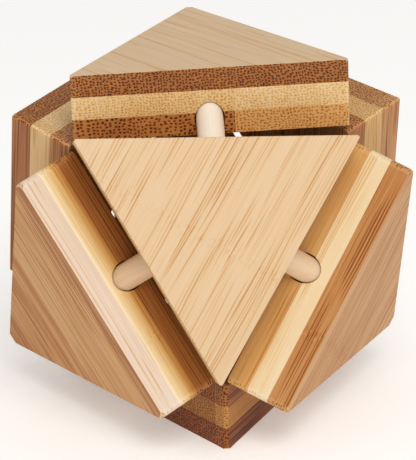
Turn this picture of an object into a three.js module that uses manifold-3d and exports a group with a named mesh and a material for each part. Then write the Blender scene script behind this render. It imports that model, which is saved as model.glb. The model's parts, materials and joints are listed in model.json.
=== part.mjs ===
// A bamboo burr puzzle: eight triangular blocks stand around a hollow centre, one to each face of an
// octahedron. Each block is sawn from three-ply bamboo board. Four of the blocks carry three glued dowels
// each, and the other four carry the loose sockets that those dowels slide in. All dowels run along three
// crossed directions, so the puzzle splits into halves along any one of them.
//
// Units are millimetres, +Z is up. The puzzle stands on the bottom block, and the origin is the middle of
// that block's outer face.
import * as THREE from "three";
import { mergeVertices } from "three/addons/utils/BufferGeometryUtils.js";
import Module from "manifold-3d";

// Driving dimensions.
const SIDE = 62; // side of a block's triangle, corner to corner before rounding
const THICKNESS = 15; // a block, through all its plies
const GLUE_LINE = 0.1; // between two plies
const FACE_DISTANCE = 41.2; // from the puzzle's centre to each block's outer face
const DOWEL_DIAMETER = 6;
const DOWEL_LENGTH = 30;
const DOWEL_CHAMFER = 0.8;
const MOUTH_HEIGHT = 3.5; // of a dowel's axis above the block's inner face, where it crosses the side
const GLUED_SOCKET = 6.2; // bore diameters
const LOOSE_SOCKET = 6.8;
const SOCKET_END_GAP = 0.3; // between a dowel's end and the bottom of its socket
const ROUND_SEGMENTS = 24; // around dowels and sockets
const CORNER_SEGMENTS = 5; // in each rounded corner of the outline

const PLIES = ["inner_ply", "core_ply", "outer_ply"]; // from the hollow centre outwards
const PLY_THICKNESS = (THICKNESS - GLUE_LINE * (PLIES.length - 1)) / PLIES.length;
const PLY_PITCH = PLY_THICKNESS + GLUE_LINE;

const IN_RADIUS = SIDE / (2 * Math.sqrt(3)); // centre of the triangle to the middle of a side
const CIRCUM_RADIUS = SIDE / Math.sqrt(3); // centre of the triangle to a corner

// The three dowel directions are square to each other and lean equally from the vertical.
const AXIS_AZIMUTHS = [210, 330, 90];
const AXES = AXIS_AZIMUTHS.map((degrees) => {
  const azimuth = THREE.MathUtils.degToRad(degrees);
  const level = Math.sqrt(2 / 3);
  return new THREE.Vector3(level * Math.cos(azimuth), level * Math.sin(azimuth), Math.sqrt(1 / 3));
});

// The side of the centre that each block lies on, along each of the three directions.
const BLOCKS = {
  bottom: [-1, -1, -1],
  rear: [-1, -1, 1],
  left_front: [1, -1, -1],
  right_front: [-1, 1, -1],
  left_rear: [1, -1, 1],
  right_rear: [-1, 1, 1],
  front: [1, 1, -1],
  top: [1, 1, 1],
};

// How far the three upright corners of each block are rounded: the blocks are sanded by hand.
const CORNER_RADII = {
  bottom: 0.8,
  rear: 0.5,
  left_front: 1.5,
  right_front: 1.5,
  left_rear: 0.5,
  right_rear: 0.5,
  front: 0.5,
  top: 0.8,
};

// How far each block sits askew on its dowels, because the sockets are drilled by hand: degrees about the
// block's own level axis, about the axis up its face, and about its face's normal.
const ASKEW = {
  bottom: [0, 0, -2],
  rear: [0, 0, 0],
  left_front: [-1, -2.5, -1],
  right_front: [0, 0, 0],
  left_rear: [0, 2, 0],
  right_rear: [1, -1.5, -1],
  front: [0, 0, -1.5],
  top: [-1, -1, 1],
};

const BAMBOO_CARAMEL = new THREE.MeshStandardMaterial({ color: 0xb9854f, roughness: 0.5, metalness: 0 });
const BAMBOO_NATURAL = new THREE.MeshStandardMaterial({ color: 0xe2c48f, roughness: 0.5, metalness: 0 });
const BIRCH = new THREE.MeshStandardMaterial({ color: 0xecd2ad, roughness: 0.6, metalness: 0 });
const PLY_MATERIALS = { inner_ply: BAMBOO_CARAMEL, core_ply: BAMBOO_NATURAL, outer_ply: BAMBOO_CARAMEL };

const wasm = await Module();
wasm.setup();

function solidOf(geometry) {
  const bare = geometry.clone();
  bare.deleteAttribute("normal");
  bare.deleteAttribute("uv");
  const merged = mergeVertices(bare, 1e-4);
  return new wasm.Manifold(
    new wasm.Mesh({
      numProp: 3,
      vertProperties: merged.attributes.position.array,
      triVerts: new Uint32Array(merged.index.array),
    }),
  );
}

function geometryOf(solid) {
  const mesh = solid.getMesh();
  const geometry = new THREE.BufferGeometry();
  geometry.setAttribute("position", new THREE.BufferAttribute(mesh.vertProperties, 3));
  geometry.setIndex(new THREE.BufferAttribute(mesh.triVerts, 1));
  geometry.computeVertexNormals();
  return geometry;
}

// A triangle with its first corner on +Y and all three corners rounded.
function triangleOutline(cornerRadius) {
  const outline = new THREE.Shape();
  const inset = CIRCUM_RADIUS - 2 * cornerRadius; // centre of the triangle to the centre of a corner's arc
  for (const degrees of [90, 210, 330]) {
    const corner = THREE.MathUtils.degToRad(degrees);
    const sweep = THREE.MathUtils.degToRad(60);
    outline.absarc(
      inset * Math.cos(corner),
      inset * Math.sin(corner),
      cornerRadius,
      corner - sweep,
      corner + sweep,
    );
  }
  outline.closePath();
  return outline;
}

// One ply's blank, with the block's inner face at z = 0 before it is turned askew about the block's middle.
function plyBlank(name, level) {
  const [tilt, lean, twist] = ASKEW[name].map(THREE.MathUtils.degToRad);
  const middle = THICKNESS / 2;
  return new THREE.ExtrudeGeometry(triangleOutline(CORNER_RADII[name]), {
    depth: PLY_THICKNESS,
    bevelEnabled: false,
    curveSegments: CORNER_SEGMENTS,
  })
    .translate(0, 0, level * PLY_PITCH - middle)
    .rotateX(tilt)
    .rotateY(lean)
    .rotateZ(twist)
    .translate(0, 0, middle);
}

// A round bar along +Y between two heights, turned to run along a direction from a start point.
function along(geometry, start, direction) {
  const turn = new THREE.Quaternion().setFromUnitVectors(new THREE.Vector3(0, 1, 0), direction);
  return geometry.applyQuaternion(turn).translate(start.x, start.y, start.z);
}

function socketCutter(socket, diameter) {
  const depth = socket.embedded + SOCKET_END_GAP;
  const lead = DOWEL_DIAMETER; // the cutter starts this far outside the block
  const bar = new THREE.CylinderGeometry(diameter / 2, diameter / 2, depth + lead, ROUND_SEGMENTS);
  bar.translate(0, (depth - lead) / 2, 0);
  return solidOf(along(bar, socket.mouth, socket.direction));
}

function dowelGeometry(socket) {
  const radius = DOWEL_DIAMETER / 2;
  const half = DOWEL_LENGTH / 2;
  const profile = [
    [0, -half],
    [radius - DOWEL_CHAMFER, -half],
    [radius, -half + DOWEL_CHAMFER],
    [radius, half - DOWEL_CHAMFER],
    [radius - DOWEL_CHAMFER, half],
    [0, half],
  ].map(([r, y]) => new THREE.Vector2(r, y));
  const middle = socket.mouth.clone().addScaledVector(socket.direction, -socket.outside);
  return along(new THREE.LatheGeometry(profile, ROUND_SEGMENTS), middle, socket.direction);
}

// The socket in the side that faces a block's neighbour across one dowel direction, in the block's frame.
function socketAt(direction) {
  const level = new THREE.Vector3(direction.x, direction.y, 0).normalize();
  const mouth = level.multiplyScalar(-IN_RADIUS).setZ(MOUTH_HEIGHT);
  const centre = new THREE.Vector3(0, 0, THICKNESS - FACE_DISTANCE);
  const outside = mouth.clone().sub(centre).dot(direction); // from midway between the blocks to the mouth
  return { direction, mouth, outside, embedded: DOWEL_LENGTH / 2 - outside };
}

function neighbourAcross(signs, k) {
  const wanted = signs.map((sign, i) => (i === k ? -sign : sign));
  return Object.keys(BLOCKS).find((name) => BLOCKS[name].every((sign, i) => sign === wanted[i]));
}

function holdsDowels(signs) {
  return signs.reduce((product, sign) => product * sign, 1) < 0;
}

function makeBlock(name, signs) {
  const towards = AXES.map((axis, k) => axis.clone().multiplyScalar(signs[k]));
  const normal = towards.reduce((sum, v) => sum.add(v), new THREE.Vector3()).normalize();
  const upright = towards[2].clone().projectOnPlane(normal).normalize();
  const across = upright.clone().cross(normal);

  const block = new THREE.Group();
  block.setRotationFromMatrix(new THREE.Matrix4().makeBasis(across, upright, normal));
  block.position.set(0, 0, FACE_DISTANCE).addScaledVector(normal, FACE_DISTANCE - THICKNESS);

  const toBlock = block.quaternion.clone().invert();
  const sockets = towards.map((direction) => socketAt(direction.clone().applyQuaternion(toBlock)));
  const glued = holdsDowels(signs);
  const bores = sockets.map((socket) => socketCutter(socket, glued ? GLUED_SOCKET : LOOSE_SOCKET));

  PLIES.forEach((ply, level) => {
    const solid = bores.reduce((left, bore) => left.subtract(bore), solidOf(plyBlank(name, level)));
    const mesh = new THREE.Mesh(geometryOf(solid), PLY_MATERIALS[ply]);
    mesh.name = `${name}_${ply}`;
    block.add(mesh);
  });

  if (glued) {
    sockets.forEach((socket, k) => {
      const dowel = new THREE.Mesh(dowelGeometry(socket), BIRCH);
      dowel.name = `${name}_dowel_to_${neighbourAcross(signs, k)}`;
      block.add(dowel);
    });
  }
  return block;
}

const puzzle = new THREE.Group();
for (const [name, signs] of Object.entries(BLOCKS)) {
  puzzle.add(makeBlock(name, signs));
}

export default puzzle;
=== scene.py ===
"""Finishes the bamboo burr puzzle: sanded three-ply bamboo blocks and the pale dowels they slide on."""

import json
import math
import random

import bmesh
import bpy
from mathutils import Matrix, Vector


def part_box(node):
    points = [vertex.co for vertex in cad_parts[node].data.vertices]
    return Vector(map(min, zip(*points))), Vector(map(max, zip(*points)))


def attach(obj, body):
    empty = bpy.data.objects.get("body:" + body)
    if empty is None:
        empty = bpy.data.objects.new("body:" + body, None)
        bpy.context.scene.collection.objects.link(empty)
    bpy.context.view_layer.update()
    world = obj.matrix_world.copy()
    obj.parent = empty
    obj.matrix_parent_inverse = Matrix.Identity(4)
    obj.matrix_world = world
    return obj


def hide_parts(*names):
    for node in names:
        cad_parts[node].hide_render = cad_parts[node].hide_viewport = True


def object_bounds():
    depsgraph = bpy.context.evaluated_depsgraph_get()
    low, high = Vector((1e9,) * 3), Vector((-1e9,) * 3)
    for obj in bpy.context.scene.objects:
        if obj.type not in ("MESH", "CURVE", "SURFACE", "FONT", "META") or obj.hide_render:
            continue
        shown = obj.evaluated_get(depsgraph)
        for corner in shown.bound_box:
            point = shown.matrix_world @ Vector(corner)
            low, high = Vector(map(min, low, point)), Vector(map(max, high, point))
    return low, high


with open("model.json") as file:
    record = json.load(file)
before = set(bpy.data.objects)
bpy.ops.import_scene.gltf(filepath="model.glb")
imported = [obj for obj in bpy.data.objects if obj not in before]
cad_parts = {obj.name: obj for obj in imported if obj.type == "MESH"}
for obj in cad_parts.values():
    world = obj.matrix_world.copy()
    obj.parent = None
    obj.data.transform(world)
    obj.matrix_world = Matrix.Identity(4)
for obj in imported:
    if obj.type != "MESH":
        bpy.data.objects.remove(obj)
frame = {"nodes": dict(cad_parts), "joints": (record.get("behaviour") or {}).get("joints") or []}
CAD_BOX = [list(corner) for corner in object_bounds()]

bl_info = {
    "name": "Bamboo Burr Puzzle",
    "version": (1, 0, 0),
    "blender": (4, 5, 0),
    "location": "View3D > Sidebar > Puzzle",
    "description": "Sawn and sanded bamboo blocks, pale dowels and a plain stage",
    "category": "Object",
}

MM = 0.001
HALF_GLUE_LINE = 0.049 * MM  # the plies of the solid model stand 0.1 mm apart
STRIP_SHIFT = 1 * MM  # from the middle of a block to the middle of its nearest strip
SQUAREST_CUT = math.cos(math.radians(30))  # no side of a block is cut squarer across the fibres than this
CREASE = math.radians(40)  # faces that meet more sharply than this are shaded apart
EDGE_TURN = math.radians(30)  # an edge that turns by more than this is sanded round
FACES_OUT = 0.3  # the least that the broad face beside a rim edge faces the way the block does
FACES_BACK = -0.05  # the most that the side beside a rim edge may face the other way
TIP_LEAN = 0.9  # how far a sanded tip leans towards the block's broad face, against its lean outwards
INNER_EDGE_RADIUS = 0.3  # millimetres, round the rim of each inner ply
SAME_PLACE = 0.001 * MM
SAME_LEVEL = 0.01 * MM
STRIP_NUMBERS = range(-2, 3)  # the strips that can lie across a block, counted from its middle one
STRIP_OFFSET = Vector((0, 37, 11))  # millimetres between the pieces of the pattern that two strips show
LAMP_SIZE = 0.7
LAMP_DISTANCE = 1.3
FLOOR_DROP = 0.02 * MM  # keeps the floor just below the bottom block
CAMERA_AIM = Vector((0.39 * MM, -2.02 * MM, 0))  # right of the puzzle's middle and below it, in the picture

# Which neighbour the long-grain side of each block faces. The other two sides cut across the fibres.
GRAIN_SIDE = {
    "bottom": "right_front",
    "rear": "bottom",
    "left_front": "front",
    "right_front": "front",
    "left_rear": "left_front",
    "right_rear": "right_front",
    "front": "right_front",
    "top": "right_rear",
}

# Every strip of a ply comes from its own stem. "face" is how dark the broad faces of its strips are, from
# 0 for bleached to 1 for deeply steamed, in turn across the grain and starting furthest from the
# long-grain side. A short list repeats. "sides" is the same for the strips' sides. "fade" is how much
# darker a side gets from its inward edge to its outward edge, "coarse" is the spacing of the fibre bundles
# against the usual one, and "golden" is how far the colour leans to yellow.
USUAL_STRIPS = {
    "inner": {"face": (0.58, 0.54), "sides": (0.66, 0.7)},
    "core": {"face": (0.34,), "sides": (0.36, 0.42)},
    "outer": {"face": (0.5, 0.54, 0.48), "sides": (0.68, 0.64)},
}
# Some tones below also hold painted shade, where marked.
STRIPS = {
    ("top", "outer"): {
        "face": (0.36, 0.38, 0.36),
        "sides": (0.81, 0.82, 0.82, 0.84),
        "golden": (0.05,),
    },
    ("top", "core"): {"sides": (0.38, 0.42, 0.36, 0.36), "fade": -0.06, "golden": (0.1,)},
    ("top", "inner"): {
        "sides": (0.76, 0.74, 0.52, 0.54),
        "coarse": (1.4, 1.35, 1, 1),
        "golden": (0.3, 0.4, 0.8, 0.8),
    },
    ("front", "outer"): {"face": (0.38, 0.41, 0.42, 0.43), "sides": (0.5,)},
    ("left_front", "outer"): {
        "face": (0.69, 0.66, 0.6, 0.67),
        "sides": (0.18,),
        "golden": (0.3, 0.3, 0.3, 0),
    },
    ("left_front", "core"): {"sides": (0.38,), "fade": -0.6, "golden": (0.3,)},
    ("left_front", "inner"): {"sides": (0.75,), "golden": (0.3,)},
    ("right_front", "outer"): {"face": (0.58, 0.62, 0.61), "sides": (0.66,), "golden": (0.25,)},
    ("right_front", "core"): {"sides": (0.25,)},
    ("right_front", "inner"): {"sides": (0.51,), "golden": (0.8,)},
    # The left rear block's sides are painted darker than the usual sides: painted shade, since the block
    # stands back from the lamp.
    ("left_rear", "outer"): {"sides": (0.8, 0.78)},
    ("right_rear", "core"): {"sides": (0.46,)},
    ("right_rear", "inner"): {"sides": (0.72,), "golden": (0.3,)},
    # The bottom block's sides are dark partly from the bamboo's own colour and partly from painted shade of
    # the blocks above it.
    ("bottom", "outer"): {"sides": (0.91, 0.88), "golden": (0.4,)},
    ("bottom", "core"): {"sides": (0.82, 0.7)},
    ("bottom", "inner"): {"sides": (0.86, 0.82), "golden": (0.3,)},
}

# Where the stem's joint crosses a board, in millimetres along the grain from the block's middle.
STEM_JOINTS = {
    ("front", "outer"): 2,
    ("right_front", "outer"): 17,
    ("left_front", "core"): -19,
    ("rear", "outer"): -8,
    ("top", "inner"): 14,
}

# How dark a dowel is, where it differs from the others: painted light and shade. The top front dowel is
# painted
#  paler, as if lit from above, and the left and right front dowels are painted darker, as if in shade.
DOWEL_PAINTED_LIGHT_AND_SHADE = {
    "front_dowel_to_top": -0.25,
    "front_dowel_to_left_front": 0.4,
    "front_dowel_to_right_front": 0.25,
}

# How far each block's outer edges are sanded round, and how much is sanded off the tips, in millimetres.
EASED_EDGES = {
    "bottom": 0.5,
    "rear": 0.3,
    "left_front": 0.7,
    "right_front": 0.4,
    "left_rear": 0.3,
    "right_rear": 0.3,
    "front": 0.25,
    "top": 0.4,
}
SANDED_TIPS = {"bottom": 0.3, "left_front": 0.6, "right_front": 0.6, "top": 0.35}


def linear(colour):
    """The scene-linear colour of an sRGB hex value."""
    parts = [int(colour[i : i + 2], 16) / 255 for i in (1, 3, 5)]
    return [p / 12.92 if p <= 0.04045 else ((p + 0.055) / 1.055) ** 2.4 for p in parts]


def node(tree, kind, inputs=None, stops=None, **settings):
    """Adds a node, sets it, fills a colour ramp's stops, and sets or links its inputs."""
    made = tree.nodes.new(kind)
    for key, value in settings.items():
        setattr(made, key, value)
    for index, (position, colour) in enumerate(stops or ()):
        elements = made.color_ramp.elements
        element = elements[index] if index < len(elements) else elements.new(position)
        element.position = position
        element.color = (*linear(colour), 1)
    for key, value in (inputs or {}).items():
        if isinstance(value, bpy.types.NodeSocket):
            tree.links.new(value, made.inputs[key])
        else:
            made.inputs[key].default_value = value
    return made


def bare_material(name):
    """A new material with an empty tree and a surface output."""
    material = bpy.data.materials.new(name)
    material.use_nodes = True
    material.node_tree.nodes.clear()
    return material, material.node_tree, material.node_tree.nodes.new("ShaderNodeOutputMaterial")


def bamboo(name, stops, settings):
    """Sanded bamboo strip under a thin satin oil.

    The eye sees dark fibre bundles in a paler ground: dots on a sawn end, and long fine lines along the
    grain, because the bundles run right through the strip. The board attribute gives a point's place in its
    strip in millimetres: along the fibres, across them, and through the thickness.
    """
    material, tree, output = bare_material(name)
    board = node(tree, "ShaderNodeAttribute", attribute_name="board").outputs["Vector"]
    tone = node(tree, "ShaderNodeAttribute", attribute_name="tone").outputs["Fac"]
    end_grain = node(tree, "ShaderNodeAttribute", attribute_name="end_grain").outputs["Fac"]
    wear_and_highlight = node(tree, "ShaderNodeAttribute", attribute_name="wear_and_highlight").outputs["Fac"]
    coarse = node(tree, "ShaderNodeAttribute", attribute_name="coarse").outputs["Fac"]
    golden = node(tree, "ShaderNodeAttribute", attribute_name="golden").outputs["Fac"]

    # Each kind of unevenness has cells of its own size in millimetres, along the fibres and across them.
    uneven = {}
    for kind, along, across, detail in (
        ("wander", 44, 6, 1),
        ("fibre", 20, 0.3, 3),
        ("bands", 70, 2.6, 2),
        ("flecks", 1.1, 0.6, 2),
    ):
        cells = node(tree, "ShaderNodeMapping",
                     {"Vector": board, "Scale": (1 / along, 1 / across, 1 / across)})
        uneven[kind] = node(tree, "ShaderNodeTexNoise",
                            {"Vector": cells.outputs[0], "Scale": 1, "Detail": detail})

    # The bundles wander sideways by half a millimetre over a few centimetres, so that a line on a sawn
    # face starts and stops.
    centred = node(tree, "ShaderNodeVectorMath",
                   {0: uneven["wander"].outputs["Color"], 1: (0.5, 0.5, 0.5)}, operation="SUBTRACT")
    sideways = node(tree, "ShaderNodeVectorMath",
                    {0: centred.outputs[0], 1: (0, 2.2, 2.2), 2: board}, operation="MULTIPLY_ADD")

    # One round bundle to a cell of the cross-section, whatever the place along the fibres.
    place = node(tree, "ShaderNodeSeparateXYZ", {"Vector": sideways.outputs[0]})
    section = node(tree, "ShaderNodeCombineXYZ", {"X": place.outputs["Y"], "Y": place.outputs["Z"]})
    spacing = node(tree, "ShaderNodeMath", {0: coarse, 1: settings.bundle_spacing}, operation="MULTIPLY")
    cells = node(tree, "ShaderNodeVectorMath",
                 {0: section.outputs[0], 1: spacing.outputs[0]}, operation="DIVIDE")
    bundles = node(tree, "ShaderNodeTexVoronoi",
                   {"Vector": cells.outputs[0], "Scale": 1, "Randomness": 0.55}, voronoi_dimensions="2D")
    bundle = node(tree, "ShaderNodeMapRange",
                  {"Value": bundles.outputs["Distance"], "From Min": 0.14, "From Max": 0.42,
                   "To Min": 1, "To Max": 0}, interpolation_type="SMOOTHSTEP")

    # The dots on a sawn end are nearly alike, but only some bundles draw a strong line along a face.
    cell_colour = node(tree, "ShaderNodeSeparateColor", {"Color": bundles.outputs["Color"]})
    weakest = node(tree, "ShaderNodeMapRange", {"Value": end_grain, "To Min": 0.2, "To Max": 0.6})
    strength = node(tree, "ShaderNodeMapRange",
                    {"Value": cell_colour.outputs["Red"], "To Min": weakest.outputs[0]})
    pore = node(tree, "ShaderNodeMath", {0: bundle.outputs[0], 1: strength.outputs[0]},
                operation="MULTIPLY")

    # A bundle is darker than the ground by more on a sawn end, and there by more in a dark strip. Along the
    # grain it stands out most in a bleached strip.
    dot_depth = node(tree, "ShaderNodeMapRange",
                     {"Value": tone, "To Min": 0.4 * settings.dot_depth,
                      "To Max": 1.2 * settings.dot_depth})
    line_depth = node(tree, "ShaderNodeMapRange",
                      {"Value": tone, "From Max": 0.25, "To Min": 3.5 * settings.line_depth,
                       "To Max": settings.line_depth})
    depth = node(tree, "ShaderNodeMapRange",
                 {"Value": end_grain, "To Min": line_depth.outputs[0], "To Max": dot_depth.outputs[0]})

    # The stem's joint is a band two or three millimetres wide where the fibres break into flecks.
    away = node(tree, "ShaderNodeMath", {0: place.outputs["X"]}, operation="ABSOLUTE")
    joint = node(tree, "ShaderNodeMapRange",
                 {"Value": away.outputs[0], "From Min": 0.4, "From Max": 2.4, "To Min": 0.26, "To Max": 0},
                 interpolation_type="SMOOTHSTEP")

    # Each part of the pattern darkens the strip's own tone by how far it lies above its middle value. Fine
    #  fibre lies between the bundles, broad bands differ in colour, and sanded edges are a little paler:
    #  partly wear, partly a painted highlight along the rounded rims.
    shade = tone
    for value, middle, strength in (
        (pore.outputs[0], 0.2, depth.outputs[0]),
        (uneven["fibre"].outputs["Fac"], 0.5, settings.fibre_depth),
        (uneven["bands"].outputs["Fac"], 0.5, settings.band_depth),
        (uneven["flecks"].outputs["Fac"], 0.44, joint.outputs[0]),
        (wear_and_highlight, 0, -0.03),
    ):
        above = node(tree, "ShaderNodeMath", {0: value, 1: middle}, operation="SUBTRACT")
        darker = node(tree, "ShaderNodeMath", {0: above.outputs[0], 1: strength, 2: shade},
                      operation="MULTIPLY_ADD")
        shade = darker.outputs[0]
    colour = node(tree, "ShaderNodeValToRGB", {"Fac": shade}, stops)

    # Some strips lean towards gold.
    tint = node(tree, "ShaderNodeMix", {"Factor": golden}, data_type="RGBA")
    tint.inputs["A"].default_value = (1, 1, 1, 1)
    tint.inputs["B"].default_value = (*linear("#FFEBB0"), 1)
    tinted = node(tree, "ShaderNodeMix", {"Factor": 1.0}, data_type="RGBA", blend_type="MULTIPLY")
    tree.links.new(colour.outputs["Color"], tinted.inputs["A"])
    tree.links.new(tint.outputs["Result"], tinted.inputs["B"])

    # Pores are a little rougher and lower than the sanded ground.
    roughness = node(tree, "ShaderNodeMapRange", {"Value": pore.outputs[0], "To Min": 0.48, "To Max": 0.66})
    height = node(tree, "ShaderNodeMath", {0: pore.outputs[0], 1: -1.2, 2: uneven["fibre"].outputs["Fac"]},
                  operation="MULTIPLY_ADD")
    bump = node(tree, "ShaderNodeBump",
                {"Height": height.outputs[0], "Strength": 0.5, "Distance": 0.03 * MM})
    surface = node(tree, "ShaderNodeBsdfPrincipled",
                   {"Base Color": tinted.outputs["Result"], "Roughness": roughness.outputs[0],
                    "Specular IOR Level": 0.3, "Normal": bump.outputs[0]})
    tree.links.new(surface.outputs[0], output.inputs[0])
    return material


def birch(name, stops):
    """Turned and sanded birch rod, bare: creamy and almost plain, with faint short lines along the rod."""
    material, tree, output = bare_material(name)
    board = node(tree, "ShaderNodeAttribute", attribute_name="board").outputs["Vector"]
    tone = node(tree, "ShaderNodeAttribute", attribute_name="tone").outputs["Fac"]
    sawn = node(tree, "ShaderNodeAttribute", attribute_name="end_grain").outputs["Fac"]
    rays = node(tree, "ShaderNodeMapping", {"Vector": board, "Scale": (1 / 5, 1 / 0.35, 1 / 0.35)})
    fibre = node(tree, "ShaderNodeTexNoise", {"Vector": rays.outputs[0], "Scale": 1, "Detail": 3})
    rings = node(tree, "ShaderNodeMapping", {"Vector": board, "Scale": (1 / 60, 1 / 2.2, 1 / 6)})
    growth = node(tree, "ShaderNodeTexNoise", {"Vector": rings.outputs[0], "Scale": 1, "Detail": 1})

    # Fibre, growth rings and the sawn ends each darken the rod's own tone.
    shade = tone
    for value, strength in ((fibre.outputs["Fac"], 0.3), (growth.outputs["Fac"], 0.3), (sawn, 0.12)):
        darker = node(tree, "ShaderNodeMath", {0: value, 1: strength, 2: shade}, operation="MULTIPLY_ADD")
        shade = darker.outputs[0]
    colour = node(tree, "ShaderNodeValToRGB", {"Fac": shade}, stops)
    roughness = node(tree, "ShaderNodeMapRange",
                     {"Value": fibre.outputs["Fac"], "To Min": 0.5, "To Max": 0.66})
    bump = node(tree, "ShaderNodeBump",
                {"Height": fibre.outputs["Fac"], "Strength": 0.35, "Distance": 0.02 * MM})
    surface = node(tree, "ShaderNodeBsdfPrincipled",
                   {"Base Color": colour.outputs["Color"], "Roughness": roughness.outputs[0],
                    "Normal": bump.outputs[0]})
    tree.links.new(surface.outputs[0], output.inputs[0])
    return material


def light_table(name, colour, glow):
    """Matt white acrylic, lit faintly from below: a photographer's table, on which shadows stay soft."""
    material, tree, output = bare_material(name)
    surface = node(tree, "ShaderNodeBsdfPrincipled",
                   {"Base Color": (*colour, 1), "Roughness": 0.8, "Specular IOR Level": 0.2,
                    "Emission Color": (1, 1, 1, 1), "Emission Strength": glow})
    tree.links.new(surface.outputs[0], output.inputs[0])
    return material


def middle_of(cad_node):
    """The middle of the box round a CAD node."""
    low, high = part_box(cad_node)
    return (low + high) / 2


def puzzle_middle():
    """Where the dowels' three directions cross: the point that the twelve dowels stand evenly round."""
    middles = [middle_of(cad_node) for cad_node in frame["nodes"] if "_dowel_to_" in cad_node]
    return sum(middles, Vector()) / len(middles)


def broad_normals(mesh):
    """The directions that a mesh faces, the largest area first."""
    areas = {}
    for polygon in mesh.polygons:
        key = tuple(round(c, 2) for c in polygon.normal)
        area, direction = areas.get(key, (0, Vector()))
        areas[key] = (area + polygon.area, direction + polygon.normal * polygon.area)
    ranked = sorted(areas.values(), key=lambda entry: -entry[0])
    return [direction.normalized() for area, direction in ranked]


class Grain:
    """A block's own directions: out through its broad face, across its fibres and along them."""

    def __init__(self, block):
        outer = f"{block}_outer_ply"
        self.centre = middle_of(outer)
        normals = broad_normals(frame["nodes"][outer].data)
        self.out = max(normals[:2], key=(self.centre - puzzle_middle()).dot)
        self.sides = [n for n in normals[2:8] if abs(n.dot(self.out)) < 0.05][:3]
        neighbour = middle_of(f"{GRAIN_SIDE[block]}_outer_ply") - self.centre
        self.across = max(self.sides, key=neighbour.dot)
        self.along = self.out.cross(self.across).normalized()

    def is_flat(self, face):
        """Whether a face lies in one of the block's five flat surfaces."""
        return max(abs(face.normal.dot(n)) for n in (self.out, *self.sides)) > 0.999


def finish_mesh(bm, name, material, body, cad_node):
    """Turns a finished bmesh into a piece that stands for a CAD node and rides with its body."""
    mesh = bpy.data.meshes.new(name)
    bm.to_mesh(mesh)
    bm.free()
    mesh.materials.append(material)
    piece = bpy.data.objects.new(name, mesh)
    bpy.context.scene.collection.objects.link(piece)
    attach(piece, body)
    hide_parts(cad_node)
    return piece


def paint_ply(bm, grain, block, ply):
    """Stores each corner's place in its strip and how it was cut, for the bamboo to follow."""
    strip_width = bpy.context.scene.bamboo_boards.strip_width
    look = {"fade": 0, "coarse": (1,), "golden": (0,), **USUAL_STRIPS[ply]}
    look.update(STRIPS.get((block, ply), {}))
    chance = random.Random(f"{block} {ply}")
    start = Vector([chance.uniform(100, 400) for axis in range(3)])
    if (block, ply) in STEM_JOINTS:
        start.x = -STEM_JOINTS[block, ply]
    heights = [v.co.dot(grain.out) for v in bm.verts]
    low, high = min(heights), max(heights)
    board = bm.loops.layers.float_vector.new("board")
    keys = ("tone", "end_grain", "wear_and_highlight", "coarse", "golden")
    layers = {key: bm.loops.layers.float.new(key) for key in keys}
    for face in bm.faces:
        offset = face.calc_center_median() - grain.centre
        strip = math.floor((offset.dot(grain.across) - STRIP_SHIFT) / strip_width + 0.5)
        turn = strip - STRIP_NUMBERS[0]
        flatness = abs(face.normal.dot(grain.out))
        face_tone, side_tone, coarse, golden = (
            look[key][turn % len(look[key])] for key in ("face", "sides", "coarse", "golden")
        )
        for loop in face.loops:
            offset = loop.vert.co - grain.centre
            height = (loop.vert.co.dot(grain.out) - low) / (high - low)
            place = Vector([offset.dot(axis) for axis in (grain.along, grain.across, grain.out)])
            faded = side_tone + look["fade"] * (height - 0.5)
            loop[board] = place / MM + start + STRIP_OFFSET * strip
            loop[layers["tone"]] = faded + (face_tone - faded) * flatness
            loop[layers["end_grain"]] = min(1, abs(face.normal.dot(grain.along)) / SQUAREST_CUT)
            # Rounded and curved faces are marked, to be painted a little paler: partly wear, partly painted
            # highlight.
            loop[layers["wear_and_highlight"]] = 0 if grain.is_flat(face) else 1
            loop[layers["coarse"]] = coarse
            loop[layers["golden"]] = golden


def close_glue_lines(bm, grain, ply):
    """Moves a ply's glued faces out to the middle of the glue line."""
    heights = [v.co.dot(grain.out) for v in bm.verts]
    low, high = min(heights), max(heights)
    for vert in bm.verts:
        height = vert.co.dot(grain.out)
        if ply != "outer" and height > high - SAME_LEVEL:
            vert.co += grain.out * HALF_GLUE_LINE
        elif ply != "inner" and height < low + SAME_LEVEL:
            vert.co -= grain.out * HALF_GLUE_LINE


def sand_tips(bm, grain, depth):
    """Takes a small flat off each tip of a block's triangle, before the edges are eased."""
    for side in grain.sides:
        towards = (grain.out * TIP_LEAN - side).normalized()
        reach = max(v.co.dot(towards) for v in bm.verts)
        geometry = bm.verts[:] + bm.edges[:] + bm.faces[:]
        cut = bmesh.ops.bisect_plane(bm, geom=geometry, dist=SAME_PLACE / 10,
                                     plane_co=towards * (reach - depth), plane_no=towards, clear_outer=True)
        edges = [item for item in cut["geom_cut"] if isinstance(item, bmesh.types.BMEdge)]
        bmesh.ops.contextual_create(bm, geom=edges)
    bm.normal_update()


def ease_edges(bm, facing, width):
    """Rounds the edges between one broad face of a block and its sides."""
    rim = []
    for edge in bm.edges:
        slopes = [face.normal.dot(facing) for face in edge.link_faces]
        turned = len(slopes) == 2 and edge.calc_face_angle(0) > EDGE_TURN
        if turned and max(slopes) > FACES_OUT and min(slopes) > FACES_BACK:
            rim.append(edge)
    bmesh.ops.bevel(bm, geom=rim, offset=width, segments=3, profile=0.5, affect="EDGES", material=-1,
                    clamp_overlap=True)


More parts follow.
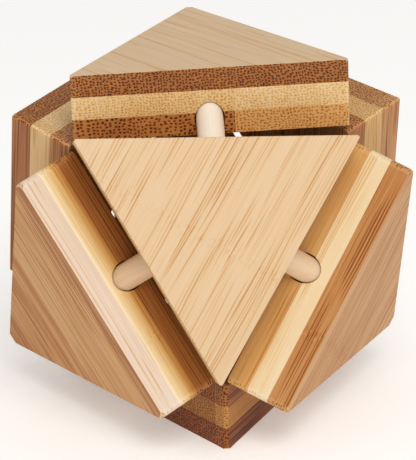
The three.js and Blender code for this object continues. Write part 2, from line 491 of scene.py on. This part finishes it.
def make_ply(block, ply, material):
    """Works one ply of a block: glued, sanded, and marked out for its grain."""
    settings = bpy.context.scene.bamboo_boards
    grain = Grain(block)
    cad_node = f"{block}_{ply}_ply"
    bm = bmesh.new()
    bm.from_mesh(frame["nodes"][cad_node].data)
    bmesh.ops.remove_doubles(bm, verts=bm.verts, dist=SAME_PLACE)
    bmesh.ops.dissolve_limit(bm, angle_limit=math.radians(1), verts=bm.verts, edges=bm.edges)
    close_glue_lines(bm, grain, ply)
    if ply == "outer":
        if block in SANDED_TIPS:
            sand_tips(bm, grain, SANDED_TIPS[block] * MM)
        ease_edges(bm, grain.out, EASED_EDGES[block] * settings.edge_wear)
    elif ply == "inner":
        ease_edges(bm, -grain.out, INNER_EDGE_RADIUS * settings.edge_wear)

    for strip in STRIP_NUMBERS:
        joint = grain.centre + grain.across * (STRIP_SHIFT + settings.strip_width * (strip - 0.5))
        geometry = bm.verts[:] + bm.edges[:] + bm.faces[:]
        bmesh.ops.bisect_plane(bm, geom=geometry, dist=SAME_PLACE, plane_co=joint, plane_no=grain.across)
    bm.normal_update()
    paint_ply(bm, grain, block, ply)
    for face in bm.faces:
        face.smooth = not grain.is_flat(face)
    for edge in bm.edges:
        edge.smooth = edge.calc_face_angle(0) < CREASE
    return finish_mesh(bm, f"{block}_{ply}_bamboo", material, f"{block}_block", cad_node)


def make_dowel(cad_node, material):
    """Turns one dowel from a round bar with eased ends, where the CAD dowel is."""
    settings = bpy.context.scene.puzzle_dowels
    block = cad_node.split("_dowel_to_")[0]
    points = [v.co for v in frame["nodes"][cad_node].data.vertices]
    directions = [Vector(joint["axis"]).normalized() for joint in frame["joints"]]
    reach = {}
    for direction in directions:
        along = [p.dot(direction) for p in points]
        reach[max(along) - min(along)] = direction
    length = max(reach)
    direction = reach[length]
    side = direction.orthogonal().normalized()
    across = [p.dot(side) for p in points]
    radius = (max(across) - min(across)) / 2

    bm = bmesh.new()
    bmesh.ops.create_cone(bm, cap_ends=True, segments=48, radius1=radius, radius2=radius, depth=length)
    ends = [edge for edge in bm.edges if abs(edge.verts[0].co.z - edge.verts[1].co.z) < SAME_LEVEL]
    bmesh.ops.bevel(bm, geom=ends, offset=settings.eased_end, segments=4, profile=0.5,
                    affect="EDGES", material=-1, clamp_overlap=True)
    chance = random.Random(cad_node)
    start = Vector((chance.uniform(0, 400), chance.uniform(0, 400), chance.uniform(0, 400)))
    # The front dowels' tones are painted light and shade; the other dowels keep their own random tone.
    tone = DOWEL_PAINTED_LIGHT_AND_SHADE.get(cad_node, chance.uniform(0.1, 0.3))
    board = bm.loops.layers.float_vector.new("board")
    tones = bm.loops.layers.float.new("tone")
    sawn = bm.loops.layers.float.new("end_grain")
    for face in bm.faces:
        for loop in face.loops:
            place = loop.vert.co
            loop[board] = Vector((place.z, place.x, place.y)) / MM + start
            loop[tones] = tone
            loop[sawn] = abs(face.normal.z)
        face.smooth = True
    for edge in bm.edges:
        edge.smooth = edge.calc_face_angle(0) < CREASE
    turn = Vector((0, 0, 1)).rotation_difference(direction).to_matrix().to_4x4()
    bmesh.ops.transform(bm, matrix=Matrix.Translation(middle_of(cad_node)) @ turn, verts=bm.verts)
    return finish_mesh(bm, cad_node.replace("_dowel_", "_birch_rod_"), material, f"{block}_block",
                       cad_node)


class BambooBoards(bpy.types.PropertyGroup):
    """Sizes and colours of the bamboo that the blocks are sawn from."""

    edge_wear: bpy.props.FloatProperty(
        name="Edge wear", description="The radius of an edge that is marked as sanded by one millimetre",
        default=1 * MM, min=0.1 * MM, max=2 * MM, subtype="DISTANCE", unit="LENGTH", precision=5)
    strip_width: bpy.props.FloatProperty(
        name="Strip width", description="Width of the strips that are glued side by side in each ply",
        default=20 * MM, min=8 * MM, max=40 * MM, subtype="DISTANCE", unit="LENGTH", precision=4)
    bundle_spacing: bpy.props.FloatProperty(
        name="Bundle spacing", description="Millimetres from one fibre bundle to the next across the grain",
        default=0.64, min=0.4, max=2)
    line_depth: bpy.props.FloatProperty(
        name="Line depth", description="How much darker a bundle is than the ground, along the grain",
        default=0.21, min=0, max=1, subtype="FACTOR")
    dot_depth: bpy.props.FloatProperty(
        name="Dot depth", description="How much darker a bundle is than the ground, on a sawn end",
        default=0.38, min=0, max=1, subtype="FACTOR")
    fibre_depth: bpy.props.FloatProperty(
        name="Fibre depth", description="How strongly the fine fibre between the bundles shows",
        default=0.22, min=0, max=1, subtype="FACTOR")
    band_depth: bpy.props.FloatProperty(
        name="Band depth", description="How strongly the broad bands along the grain show",
        default=0.13, min=0, max=1, subtype="FACTOR")


class PuzzleDowels(bpy.types.PropertyGroup):
    """Sizes of the dowels."""

    eased_end: bpy.props.FloatProperty(
        name="Eased end", description="Width of the rounding at each end of a dowel",
        default=0.8 * MM, min=0.1 * MM, max=2 * MM, subtype="DISTANCE", unit="LENGTH", precision=5)


class PuzzleStage(bpy.types.PropertyGroup):
    """The floor, the light and the camera."""

    floor_colour: bpy.props.FloatVectorProperty(
        name="Floor", description="Colour of the floor", default=linear("#F2F1EF"), size=3, min=0, max=1,
        subtype="COLOR")
    floor_glow: bpy.props.FloatProperty(
        name="Floor glow", description="Strength of the faint light through the floor", default=0.3, min=0,
        max=2)
    room_light: bpy.props.FloatProperty(
        name="Room light", description="Strength of the even light from all round", default=0.52, min=0,
        max=5)
    key_power: bpy.props.FloatProperty(
        name="Key light", description="Power of the large soft lamp in front", default=8, min=0, max=1000,
        subtype="POWER", unit="POWER")
    key_azimuth: bpy.props.FloatProperty(
        name="Key azimuth", description="How far the lamp stands to the right of straight ahead",
        default=math.radians(8), subtype="ANGLE", unit="ROTATION")
    key_elevation: bpy.props.FloatProperty(
        name="Key elevation", description="How high the lamp stands above the level",
        default=math.radians(46), subtype="ANGLE", unit="ROTATION")
    camera_azimuth: bpy.props.FloatProperty(
        name="Camera azimuth", description="How far the camera stands to the right of straight ahead",
        default=math.radians(-3.91), subtype="ANGLE", unit="ROTATION")
    camera_elevation: bpy.props.FloatProperty(
        name="Camera elevation", description="How high the camera stands above the level",
        default=math.radians(19.59), subtype="ANGLE", unit="ROTATION")
    camera_roll: bpy.props.FloatProperty(
        name="Camera roll", description="How far the camera is turned about its line of sight",
        default=math.radians(-1.12), subtype="ANGLE", unit="ROTATION")
    camera_distance: bpy.props.FloatProperty(
        name="Camera distance", description="From the camera to the middle of the puzzle",
        default=0.7385, min=0.1, max=10, subtype="DISTANCE", unit="LENGTH")
    focal_length: bpy.props.FloatProperty(
        name="Focal length", description="Of the camera's lens, on a 36 mm sensor", default=255.3, min=10,
        max=1000, subtype="DISTANCE_CAMERA", unit="CAMERA")


class PlyOperator:
    """What the operators of the three plies share."""

    bl_options = {"REGISTER", "UNDO"}

    def make_plies(self, ply, material, slot):
        for block in GRAIN_SIDE:
            make_ply(block, ply, material)


CARAMEL_STOPS = (
    (0.0, "#F0DFD2"), (0.12, "#E5D1BD"), (0.28, "#E3C7A3"), (0.4, "#DFBD93"), (0.52, "#D2A674"),
    (0.66, "#B87C42"), (0.82, "#8C4A1A"), (1.0, "#4A1D06"),
)
NATURAL_STOPS = (
    (0.0, "#F8EEDA"), (0.25, "#EBD2A4"), (0.45, "#DBAE6C"), (0.65, "#B87C38"), (1.0, "#6A3C0E"),
)
BIRCH_STOPS = ((0.0, "#FBEEDB"), (0.4, "#EFD6B4"), (1.0, "#CDA070"))


def caramel_bamboo():
    """The steamed bamboo of the inner and outer plies, made once."""
    name = "steamed_bamboo_sanded"
    return bpy.data.materials.get(name) or bamboo(name, CARAMEL_STOPS, bpy.context.scene.bamboo_boards)


class PUZZLE_OT_outer_plies(PlyOperator, bpy.types.Operator):
    """Make the steamed outer ply of every block, with sanded edges"""

    bl_idname = "puzzle.outer_plies"
    bl_label = "Outer Plies"

    def execute(self, context):
        self.make_plies("outer", caramel_bamboo(), "bamboo_caramel")
        return {"FINISHED"}


class PUZZLE_OT_core_plies(PlyOperator, bpy.types.Operator):
    """Make the pale core ply of every block"""

    bl_idname = "puzzle.core_plies"
    bl_label = "Core Plies"

    def execute(self, context):
        natural = bamboo("natural_bamboo_sanded", NATURAL_STOPS, context.scene.bamboo_boards)
        self.make_plies("core", natural, "bamboo_natural")
        return {"FINISHED"}


class PUZZLE_OT_inner_plies(PlyOperator, bpy.types.Operator):
    """Make the steamed inner ply of every block, with sanded edges"""

    bl_idname = "puzzle.inner_plies"
    bl_label = "Inner Plies"

    def execute(self, context):
        self.make_plies("inner", caramel_bamboo(), "bamboo_caramel")
        return {"FINISHED"}


class PUZZLE_OT_dowels(bpy.types.Operator):
    """Make the dowels that join the blocks"""

    bl_idname = "puzzle.dowels"
    bl_label = "Dowels"
    bl_options = {"REGISTER", "UNDO"}

    def execute(self, context):
        material = birch("birch_rod_sanded", BIRCH_STOPS)
        for cad_node in sorted(frame["nodes"]):
            if "_dowel_to_" in cad_node:
                make_dowel(cad_node, material)
        return {"FINISHED"}


def away_from_middle(azimuth, elevation):
    """The direction from the puzzle's middle to something in front of it, to its right and above it."""
    level = math.cos(elevation)
    return Vector((math.sin(azimuth) * level, -math.cos(azimuth) * level, math.sin(elevation)))


class PUZZLE_OT_stage(bpy.types.Operator):
    """Set the plain floor, the soft light and the camera"""

    bl_idname = "puzzle.stage"
    bl_label = "Stage"
    bl_options = {"REGISTER", "UNDO"}

    def execute(self, context):
        scene = context.scene
        stage = scene.puzzle_stage
        middle = puzzle_middle()

        bm = bmesh.new()
        bmesh.ops.create_grid(bm, x_segments=1, y_segments=1, size=4)
        bmesh.ops.translate(bm, verts=bm.verts, vec=(0, 0, CAD_BOX[0][2] - FLOOR_DROP))
        mesh = bpy.data.meshes.new("floor")
        bm.to_mesh(mesh)
        bm.free()
        mesh.materials.append(light_table("matt_acrylic_light_table", stage.floor_colour, stage.floor_glow))
        floor = bpy.data.objects.new("floor", mesh)
        scene.collection.objects.link(floor)

        world = bpy.data.worlds.new("even_room_light")
        world.use_nodes = True
        world.node_tree.nodes["Background"].inputs["Color"].default_value = (1, 1, 1, 1)
        world.node_tree.nodes["Background"].inputs["Strength"].default_value = stage.room_light
        scene.world = world

        key = bpy.data.lights.new("key", "AREA")
        key.shape = "DISK"
        key.size = LAMP_SIZE
        key.energy = stage.key_power
        key.color = linear("#FFFCF8")
        lamp = bpy.data.objects.new("key", key)
        towards = away_from_middle(stage.key_azimuth, stage.key_elevation)
        lamp.location = middle + towards * LAMP_DISTANCE
        lamp.rotation_euler = towards.to_track_quat("Z", "Y").to_euler()
        scene.collection.objects.link(lamp)

        camera = bpy.data.cameras.new("camera")
        camera.lens = stage.focal_length
        camera.clip_start = 0.01
        view = bpy.data.objects.new("camera", camera)
        towards = away_from_middle(stage.camera_azimuth, stage.camera_elevation)
        turn = towards.to_track_quat("Z", "Y").to_matrix() @ Matrix.Rotation(stage.camera_roll, 3, "Z")
        aim = middle + turn @ CAMERA_AIM
        view.matrix_world = Matrix.Translation(aim + towards * stage.camera_distance) @ turn.to_4x4()
        scene.collection.objects.link(view)
        scene.camera = view

        scene.view_settings.view_transform = "Standard"
        return {"FINISHED"}


class PUZZLE_PT_panel(bpy.types.Panel):
    """Lists the puzzle's settings and the steps that make it"""

    bl_idname = "PUZZLE_PT_panel"
    bl_label = "Bamboo Burr Puzzle"
    bl_space_type = "VIEW_3D"
    bl_region_type = "UI"
    bl_category = "Puzzle"

    def draw(self, context):
        for group in SETTINGS:
            settings = getattr(context.scene, group)
            box = self.layout.box()
            for key in settings.__annotations__:
                box.prop(settings, key)
        for operator in OPERATORS:
            self.layout.operator(operator.bl_idname)


SETTINGS = {"bamboo_boards": BambooBoards, "puzzle_dowels": PuzzleDowels, "puzzle_stage": PuzzleStage}
OPERATORS = (
    PUZZLE_OT_outer_plies,
    PUZZLE_OT_core_plies,
    PUZZLE_OT_inner_plies,
    PUZZLE_OT_dowels,
    PUZZLE_OT_stage,
)


def register():
    for cls in (*SETTINGS.values(), *OPERATORS, PUZZLE_PT_panel):
        bpy.utils.register_class(cls)
    for name, group in SETTINGS.items():
        setattr(bpy.types.Scene, name, bpy.props.PointerProperty(type=group))


def unregister():
    for name in SETTINGS:
        delattr(bpy.types.Scene, name)
    for cls in (PUZZLE_PT_panel, *OPERATORS, *SETTINGS.values()):
        bpy.utils.unregister_class(cls)


def main():
    register()
    bpy.ops.puzzle.outer_plies()
    bpy.ops.puzzle.core_plies()
    bpy.ops.puzzle.inner_plies()
    bpy.ops.puzzle.dowels()
    bpy.ops.puzzle.stage()


if __name__ == "__main__":
    main()
